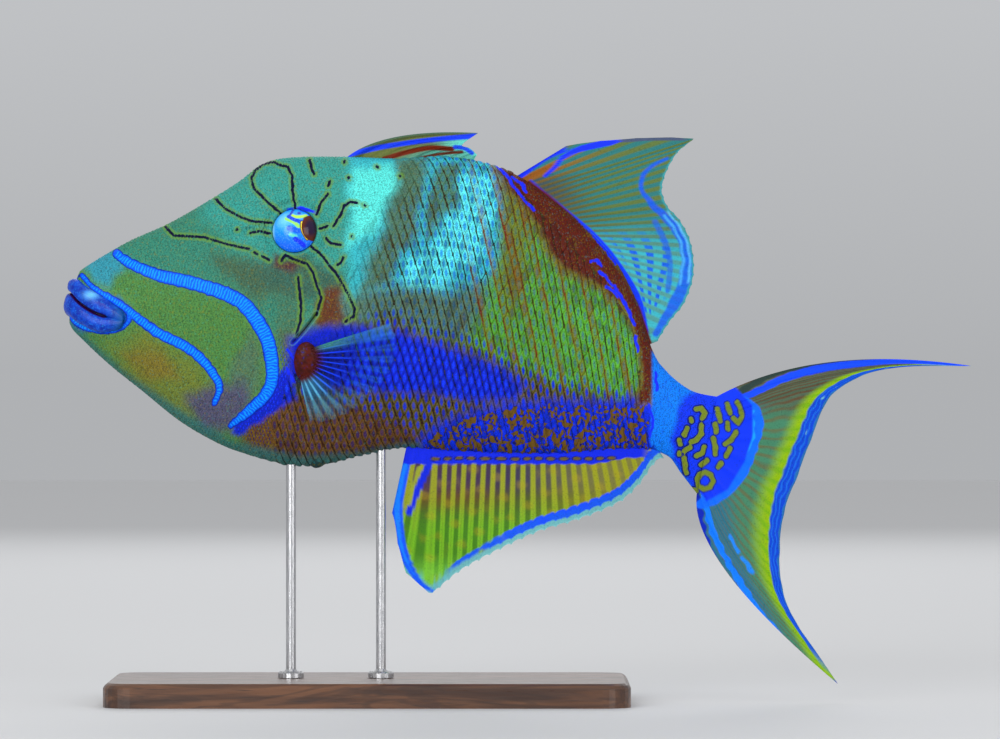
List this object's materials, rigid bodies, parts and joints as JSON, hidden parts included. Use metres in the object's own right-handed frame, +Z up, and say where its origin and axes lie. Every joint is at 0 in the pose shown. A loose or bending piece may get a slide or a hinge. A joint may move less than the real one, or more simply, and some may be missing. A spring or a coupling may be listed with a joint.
{
  "type": "queen triggerfish model on a display stand",
  "caption": "Life-size queen triggerfish, deep-bodied with a blunt mouth, swept dorsal and anal fins and a forked tail, held nose up by rods on a flat base.",
  "frame": {"origin": "on the floor under the centre of the whole model's bounding box", "axes": "+Z up; +X towards the tail, so the head points to -X; the fish's left flank faces -Y"},
  "size_m": [0.4541, 0.12, 0.285],
  "materials": {
    "skin": "scaled skin, satin, turquoise, green and blue with bright blue bands",
    "lips": "smooth moist blue skin",
    "eyes": "clear wet gloss over a blue globe",
    "fins": "thin ribbed membrane, satin",
    "pectoral_fins": "thin translucent ribbed membrane",
    "stand_board": "oiled dark walnut, fine grain",
    "stand_rods": "brushed"
  },
  "bodies": {
    "root": {"head": "skin", "trunk": "skin", "tail_peduncle": "skin", "upper_lip": "lips", "lower_lip": "lips", "eye_left": "eyes", "eye_right": "eyes", "first_dorsal_fin": "fins", "second_dorsal_fin": "fins", "anal_fin": "fins", "caudal_fin_upper": "fins", "caudal_fin_lower": "fins", "pectoral_fin_left": "pectoral_fins", "pectoral_fin_right": "pectoral_fins", "stand_base": "stand_board", "stand_rod_front": "stand_rods", "stand_rod_rear": "stand_rods"}
  },
  "joints": []
}
